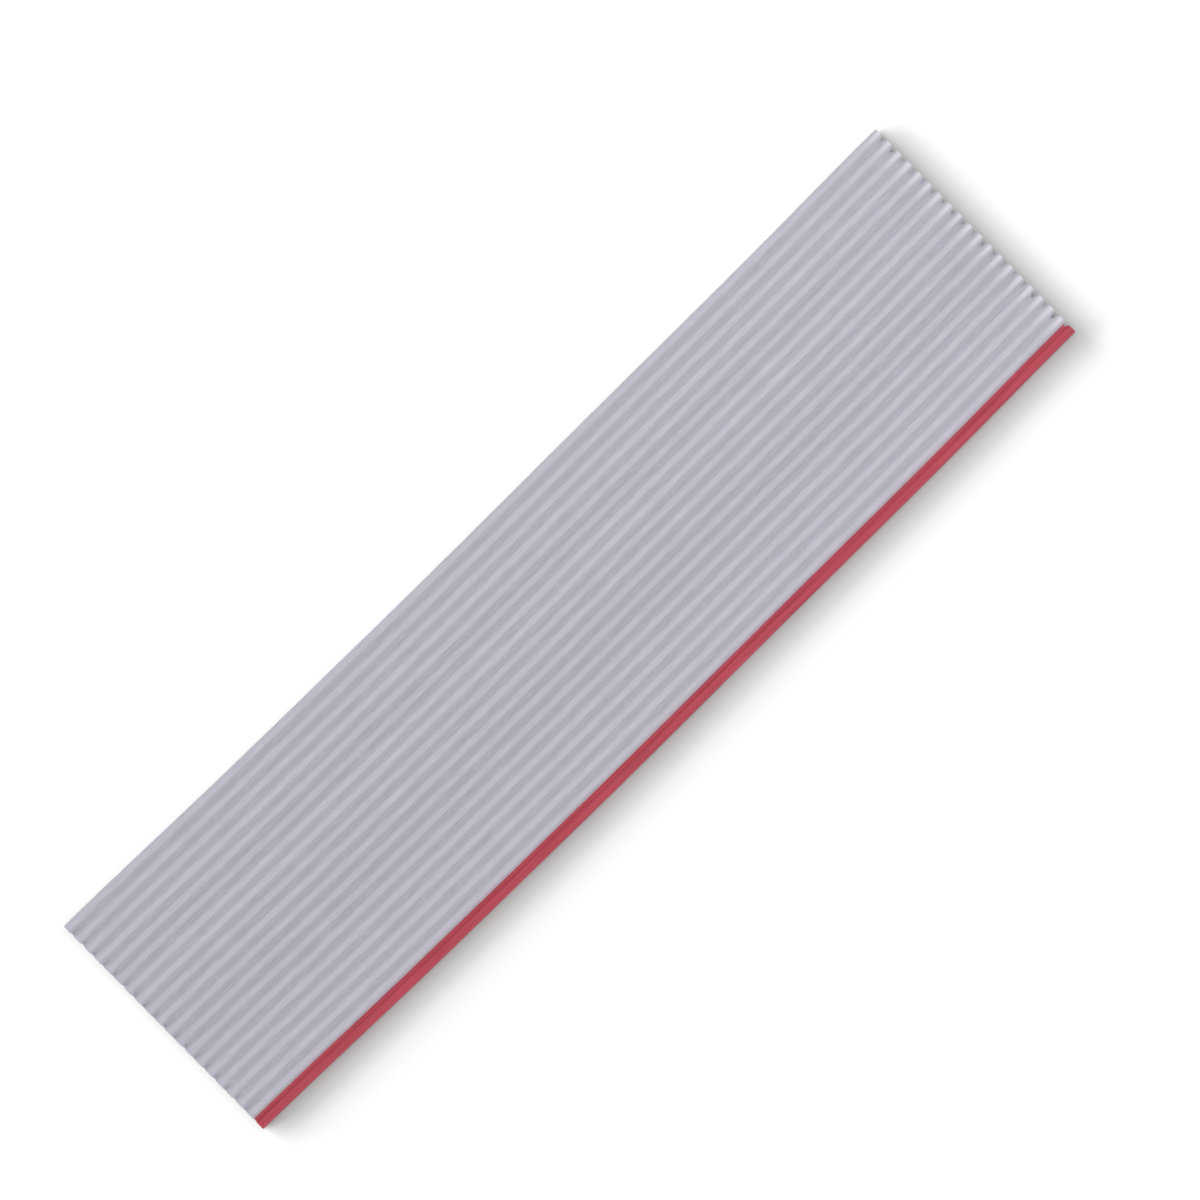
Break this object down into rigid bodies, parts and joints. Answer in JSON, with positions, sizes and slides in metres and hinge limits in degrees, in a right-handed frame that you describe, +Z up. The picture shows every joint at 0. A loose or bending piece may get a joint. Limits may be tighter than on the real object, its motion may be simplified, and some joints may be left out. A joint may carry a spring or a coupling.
{
  "type": "ribbon cable",
  "caption": "Short flat length of grey ribbon cable with a ribbed, webbed jacket, one red edge and stranded conductors level with its square-cut ends.",
  "frame": {"origin": "centre of the footprint, on the surface that the cable lies on", "axes": "+X along the cable; +Y across it, away from the red edge; +Z up, through its thickness"},
  "size_m": [0.1, 0.025, 0.0009],
  "materials": {
    "grey_vinyl": "extruded flexible vinyl, satin, ribbed along its length",
    "red_vinyl_coat": "smooth satin coat on the edge lobe",
    "tinned_copper": "bright drawn wire, tin plated"
  },
  "bodies": {
    "root": {"insulation": "grey_vinyl", "red_edge_stripe": "red_vinyl_coat", "conductor_01": "tinned_copper", "conductor_02": "tinned_copper", "conductor_03": "tinned_copper", "conductor_04": "tinned_copper", "conductor_05": "tinned_copper", "conductor_06": "tinned_copper", "conductor_07": "tinned_copper", "conductor_08": "tinned_copper", "conductor_09": "tinned_copper", "conductor_10": "tinned_copper", "conductor_11": "tinned_copper", "conductor_12": "tinned_copper", "conductor_13": "tinned_copper", "conductor_14": "tinned_copper", "conductor_15": "tinned_copper", "conductor_16": "tinned_copper", "conductor_17": "tinned_copper", "conductor_18": "tinned_copper", "conductor_19": "tinned_copper", "conductor_20": "tinned_copper"}
  },
  "joints": []
}
